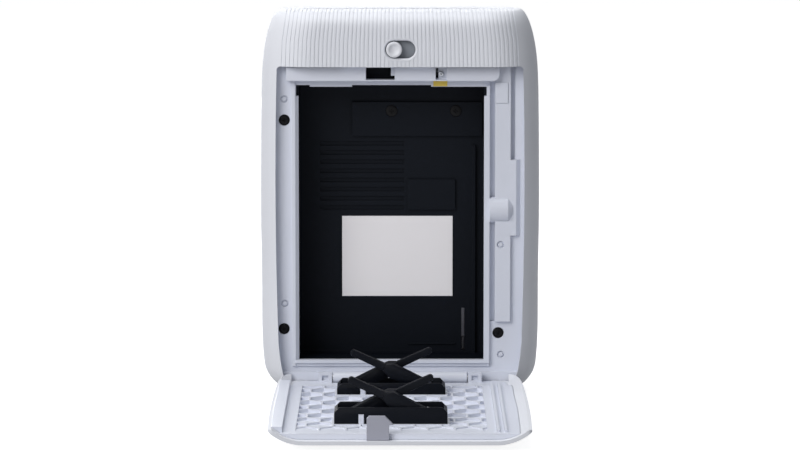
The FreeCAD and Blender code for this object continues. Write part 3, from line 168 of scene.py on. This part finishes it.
def cross_screw(x, face_y, z, head_r, head, shank_r, tip_y):
    head_sides = 40
    square_on = 0.9
    dome = head * 0.3
    dome_steps = ((0.12, 0.5), (0.2, 0.3), (0.25, 0.2))
    tip_taper = 0.6
    arm_long = head_r * 1.15
    arm_wide = head_r * 0.26
    arm_deep = head * 0.9
    arm_middle = face_y + head * 0.1
    arm_taper = 0.7
    smooth = math.radians(32)
    bpy.ops.object.select_all(action="DESELECT")
    bpy.ops.mesh.primitive_cylinder_add(vertices=head_sides, radius=head_r, depth=head - dome,
                                        rotation=(math.pi / 2, 0, 0),
                                        location=(x, face_y + (head + dome) / 2, z))
    blank = bpy.context.object
    bpy.ops.object.transform_apply(location=True, rotation=True, scale=True)
    bpy.ops.object.mode_set(mode="EDIT")
    bpy.ops.mesh.select_mode(type="FACE")
    bpy.ops.object.mode_set(mode="OBJECT")
    for face in blank.data.polygons:
        face.select = face.normal.y > square_on
    bpy.ops.object.mode_set(mode="EDIT")
    bpy.ops.mesh.inset(thickness=head_r - shank_r)
    bpy.ops.mesh.extrude_region_move(TRANSFORM_OT_translate={"value": (0, tip_y - face_y - head, 0)})
    bpy.ops.transform.resize(value=(tip_taper, 1, tip_taper), center_override=(x, tip_y, z))
    bpy.ops.object.mode_set(mode="OBJECT")
    for face in blank.data.polygons:
        face.select = face.normal.y < -square_on
    bpy.ops.object.mode_set(mode="EDIT")
    for inward, upward in dome_steps:
        bpy.ops.mesh.inset(thickness=head_r * inward, depth=dome * upward)
    bpy.ops.object.mode_set(mode="OBJECT")
    for width, height in ((arm_long, arm_wide), (arm_wide, arm_long)):
        bpy.ops.object.select_all(action="DESELECT")
        bpy.ops.mesh.primitive_cube_add(size=1, location=(x, arm_middle, z))
        punch = bpy.context.object
        punch.scale = (width, arm_deep, height)
        bpy.ops.object.transform_apply(location=True, rotation=True, scale=True)
        for face in punch.data.polygons:
            face.select = face.normal.y > square_on
        bpy.ops.object.mode_set(mode="EDIT")
        bpy.ops.transform.resize(value=(arm_taper, 1, arm_taper), center_override=(x, face_y, z))
        bpy.ops.object.mode_set(mode="OBJECT")
        blank.select_set(True)
        bpy.context.view_layer.objects.active = blank
        recess = blank.modifiers.new("recess", "BOOLEAN")
        recess.object = punch
        recess.solver = "EXACT"
        bpy.ops.object.modifier_apply(modifier="recess")
        bpy.data.objects.remove(punch)
    bpy.ops.object.select_all(action="DESELECT")
    blank.select_set(True)
    bpy.context.view_layer.objects.active = blank
    bpy.ops.object.shade_smooth_by_angle(angle=smooth)
    return blank


def gather(pieces, name, material):
    bpy.ops.object.select_all(action="DESELECT")
    for piece in pieces:
        piece.select_set(True)
    bpy.context.view_layer.objects.active = pieces[0]
    if len(pieces) > 1:
        bpy.ops.object.join()
    whole = bpy.context.object
    whole.name = name
    whole.data.materials.clear()
    whole.data.materials.append(material)
    return whole


rail_places = ((-0.0372, 0.0887), (-0.0375, 0.0209), (0.03175, 0.0196))
rail_size = {"face_y": -0.0100, "head_r": 0.00175, "head": 0.0010, "shank_r": 0.0009, "tip_y": -0.0006}
rail_screws = gather([cross_screw(x, z=z, **rail_size) for x, z in rail_places],
                     "rail_screw_heads", screw_black)
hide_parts("frame_screws")
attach(rail_screws, "housing")
plate_places = ((-0.0027, 0.0904), (0.0182, 0.0904))
plate_size = {"face_y": 0.0038, "head_r": 0.00185, "head": 0.0005, "shank_r": 0.0009, "tip_y": 0.0062}
plate_screws = gather([cross_screw(x, z=z, **plate_size) for x, z in plate_places],
                      "plate_screw_heads", screw_black)
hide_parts("head_cover_screws")
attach(plate_screws, "housing")

# Hook, latch slider and knob, power button.
# The hook and slider carry painted shade in their grey: the hook's grey stands in for the shade on its face,
# and the slider is darkened to match the shaded floor of the knob's slot;
# the knob and button are moulded in the shell's white.
hook_shade_paint = moulded_plastic("painted_shade_hook", (0.36, 0.37, 0.44), gloss=0.5, grain=0.0005, relief=0.06)
dress(hook_shade_paint, "door_hook")
# Painted shade: the slider's dark grey stands in for the shadow on the floor of the knob's slot.
slider_shade_paint = moulded_plastic("painted_shade_slider", (0.22, 0.24, 0.27), gloss=0.5, grain=0.0005, relief=0.06)
dress(slider_shade_paint, "latch_slider")
knob_white = moulded_plastic("knob_white", (0.725, 0.74, 0.79), gloss=0.6, grain=0.0006, relief=0.04)
dress(knob_white, "latch_knob", "power_button")

# Metal pieces: pins, roller shafts, brackets, motor can, claw and socket shell, the rollers'
# brass bushes and the cell's foil. Drawn or pressed, with the fine lines that this leaves.
def drawn_metal(name, colour, stretch):
    material = moulded_plastic(name, colour, gloss=0.68, grain=0.0004, relief=0.08, drift=0.06)
    material.node_tree.nodes["Principled BSDF"].inputs["Metallic"].default_value = 1.0
    links = material.node_tree.links
    place = material.node_tree.nodes["Texture Coordinate"]
    mapping = material.node_tree.nodes.new("ShaderNodeMapping")
    mapping.inputs["Scale"].default_value = stretch
    links.new(place.outputs["Object"], mapping.inputs["Vector"])
    links.new(mapping.outputs["Vector"], material.node_tree.nodes["Noise Texture"].inputs["Vector"])
    return material


bright_steel = drawn_metal("bright_steel", (0.55, 0.55, 0.57), (0.1, 1, 1))
dress(bright_steel, "hinge_pins", "lever_pins", "drive_roller_shaft", "pinch_roller_shaft", "gear_pin",
      "left_bracket", "gear_plate", "motor", "usb_socket")
# The claw's near-black steel is painted shade: it stands in for the shadow inside the claw's recessed slot.
claw_painted_shade_steel = drawn_metal("claw_painted_shade_steel", (0.10, 0.10, 0.11), (1, 1, 0.1))
dress(claw_painted_shade_steel, "film_claw")
brass = drawn_metal("sintered_brass", (0.66, 0.46, 0.18), (1, 1, 1))
dress(brass, "roller_bushes")
cell_foil = drawn_metal("cell_foil", (0.60, 0.60, 0.62), (1, 1, 1))
dress(cell_foil, "battery")

# Springs: one beside each press lever on its pin, and one that pulls the latch back.
# Music wire, coiled cold; the lever springs sit between the lever and the tray's wall, and the
# latch spring is close-wound behind the ledge.
spring_steel = drawn_metal("spring_steel", (0.34, 0.34, 0.36), (1, 1, 1))


def wound_coil(start, axis_turn, mean_r, wire_r, pitch, turns):
    wire_sides = 10
    steps_per_turn = 20
    weld = 0.000001
    smooth = math.radians(50)
    bpy.ops.object.select_all(action="DESELECT")
    bpy.ops.mesh.primitive_circle_add(vertices=wire_sides, radius=wire_r, fill_type="NOTHING",
                                      location=(mean_r, 0, wire_r), rotation=(math.pi / 2, 0, 0))
    coil = bpy.context.object
    bpy.ops.object.transform_apply(location=True, rotation=True, scale=True)
    winding = coil.modifiers.new("winding", "SCREW")
    winding.axis = "Z"
    winding.angle = 2 * math.pi
    winding.iterations = turns
    winding.screw_offset = pitch
    winding.steps = steps_per_turn
    winding.render_steps = steps_per_turn
    winding.use_merge_vertices = False
    bpy.ops.object.modifier_apply(modifier="winding")
    bpy.ops.object.mode_set(mode="EDIT")
    bpy.ops.mesh.select_all(action="SELECT")
    bpy.ops.mesh.remove_doubles(threshold=weld)
    bpy.ops.mesh.fill_holes(sides=wire_sides + 2)
    bpy.ops.mesh.select_all(action="SELECT")
    bpy.ops.mesh.normals_make_consistent(inside=False)
    bpy.ops.object.mode_set(mode="OBJECT")
    coil.rotation_euler = axis_turn
    coil.location = start
    bpy.ops.object.transform_apply(location=True, rotation=True, scale=True)
    bpy.ops.object.shade_smooth_by_angle(angle=smooth)
    return coil


pin_height = 0.0068
lever_coil_places = ((-0.013975, -0.08945), (0.008425, -0.0850), (-0.013975, -0.03645), (0.008425, -0.0320))
lever_coil_size = {"mean_r": 0.0013, "wire_r": 0.00027, "pitch": 0.00072, "turns": 5}
along_y = (math.pi / 2, 0, 0)
lever_coils = gather([wound_coil((x, y, pin_height), along_y, **lever_coil_size)
                      for x, y in lever_coil_places], "lever_coils", spring_steel)
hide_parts("lever_springs")
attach(lever_coils, "door")
latch_coil_start = (-0.0170, -0.01465, 0.1119)
latch_coil_size = {"mean_r": 0.0006, "wire_r": 0.00014, "pitch": 0.0003, "turns": 28}
along_x = (0, math.pi / 2, 0)
latch_coil = gather([wound_coil(latch_coil_start, along_x, **latch_coil_size)], "latch_coil", spring_steel)
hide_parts("latch_spring")
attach(latch_coil, "housing")

# Small screw in the pocket of the ledge.
# Zinc-plated steel gone dull, with the same cross recess; it holds the ledge's inner wall.
screw_zinc = drawn_metal("screw_dull_zinc", (0.42, 0.44, 0.48), (1, 1, 1))
ledge_size = {"face_y": -0.01284, "head_r": 0.00085, "head": 0.0005, "shank_r": 0.0004, "tip_y": -0.0122}
ledge_head = gather([cross_screw(x=0.0132, z=0.1038, **ledge_size)], "ledge_screw_head", screw_zinc)
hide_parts("ledge_screw")
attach(ledge_head, "housing")

# Rubber sleeves on the two film rollers, ground true on their shafts, and the exit's seal.
# The sleeves are dark nitrile rubber with a dull ground face; the seal is two felt strips,
# as dark and dull, stuck inside the slot.
roller_rubber = moulded_plastic("roller_rubber", (0.045, 0.045, 0.05), gloss=0.2, grain=0.0005, relief=0.2)
dress(roller_rubber, "drive_roller_sleeve", "pinch_roller_sleeve", "exit_seal")

# Gears in natural acetal, moulded.
# The pinion is pressed on the motor's shaft and the idler runs on a fixed pin.
gear_acetal = moulded_plastic("gear_acetal", (0.68, 0.68, 0.64), gloss=0.6, grain=0.0006, relief=0.04)
dress(gear_acetal, "roller_gear", "idler_gear", "motor_pinion")

# Boards, chips, light ring and lens strip.
# Glass-fibre boards with green solder mask; black moulded chips; frosted ring; clear lens strip.
board_green = moulded_plastic("board_green", (0.02, 0.15, 0.07), gloss=0.6, grain=0.0008, relief=0.1,
                              drift=0.12)
dress(board_green, "main_board", "button_board")
chip_black = moulded_plastic("chip_black", (0.015, 0.015, 0.016), gloss=0.4, grain=0.0004, relief=0.1)
dress(chip_black, "board_chips", "button_switch")
ring_frost = moulded_plastic("ring_frosted", (0.74, 0.77, 0.80), gloss=0.6, grain=0.0005, relief=0.05)
dress(ring_frost, "light_ring")
lens_clear = moulded_plastic("lens_clear", (0.75, 0.78, 0.80), gloss=0.9, grain=0.0008, relief=0.02)
lens_clear.node_tree.nodes["Principled BSDF"].inputs["Transmission Weight"].default_value = 0.7
dress(lens_clear, "lens_strip")

# Studio table: a plain pale sheet under the object.
# It looks white to the camera and in reflections, and still takes the object's shadow.
table_width = 12.0
table_drop = 0.0003
table_grey = (0.42, 0.42, 0.43, 1)
table_white = 0.89
bpy.ops.object.select_all(action="DESELECT")
bpy.ops.mesh.primitive_plane_add(size=table_width, location=(0, 0, -table_drop))
table = bpy.context.object
table.name = "studio_table"
bpy.ops.object.transform_apply(location=True, rotation=True, scale=True)
table_paint = bpy.data.materials.new("studio_white")
table_paint.use_nodes = True
paint_nodes = table_paint.node_tree.nodes
paint_links = table_paint.node_tree.links
paint = paint_nodes["Principled BSDF"]
paint.inputs["Base Color"].default_value = table_grey
paint.inputs["Roughness"].default_value = 0.9
ray = paint_nodes.new("ShaderNodeLightPath")
seen = paint_nodes.new("ShaderNodeMath")
seen.operation = "MAXIMUM"
paint_links.new(ray.outputs["Is Camera Ray"], seen.inputs[0])
paint_links.new(ray.outputs["Is Glossy Ray"], seen.inputs[1])
seen_through = paint_nodes.new("ShaderNodeMath")
seen_through.operation = "MAXIMUM"
paint_links.new(seen.outputs[0], seen_through.inputs[0])
paint_links.new(ray.outputs["Is Transmission Ray"], seen_through.inputs[1])
glow = paint_nodes.new("ShaderNodeMath")
glow.operation = "MULTIPLY"
glow.inputs[1].default_value = table_white
paint_links.new(seen_through.outputs[0], glow.inputs[0])
paint.inputs["Emission Color"].default_value = (1, 1, 1, 1)
paint_links.new(glow.outputs[0], paint.inputs["Emission Strength"])
table.data.materials.append(table_paint)

# Light: a faint even sky, a broad window at the upper left and weaker lamps above and behind.
# All are large and soft, at a level where the white plastic stays below full white.
world = bpy.data.worlds.new("studio_air")
bpy.context.scene.world = world
world.use_nodes = True
world.node_tree.nodes["Background"].inputs["Color"].default_value = (0.93, 0.96, 1.0, 1)
world.node_tree.nodes["Background"].inputs["Strength"].default_value = 0.22


def soft_lamp(name, place, aim, size, power, colour):
    lamp = bpy.data.lights.new(name, "AREA")
    lamp.shape = "DISK"
    lamp.size = size
    lamp.energy = power
    lamp.color = colour
    holder = bpy.data.objects.new(name, lamp)
    bpy.context.scene.collection.objects.link(holder)
    holder.location = place
    holder.rotation_euler = (Vector(aim) - Vector(place)).to_track_quat("-Z", "Y").to_euler()


soft_lamp("window_left", (-0.54, -0.70, 0.58), (0, 0, 0.06), size=0.7, power=6.6, colour=(1.0, 0.985, 0.97))
soft_lamp("top_light", (-0.1, 0.0, 1.1), (0, 0, 0.05), size=0.6, power=5.8, colour=(1.0, 1.0, 1.0))
soft_lamp("fill_behind", (-0.25, 0.95, 0.35), (0, 0, 0.06), size=0.8, power=4.5, colour=(1.0, 1.0, 1.0))

# Camera: a long lens a little above the middle of the body, looking at the open bay.
# Its tilt and distance give the photograph's viewing angle.
camera_data = bpy.data.cameras.new("photo_camera")
camera_data.sensor_width = 36.0
camera_data.lens = 166.0
camera = bpy.data.objects.new("photo_camera", camera_data)
bpy.context.scene.collection.objects.link(camera)
view_tilt = math.radians(7.0)
view_distance = 1.2
view_target = Vector((0, 0, 0.0535))
camera.location = view_target + Vector((0, -math.cos(view_tilt), math.sin(view_tilt))) * view_distance
camera.rotation_euler = (math.pi / 2 - view_tilt, 0, 0)
bpy.context.scene.camera = camera
bpy.context.scene.view_settings.view_transform = "Standard"
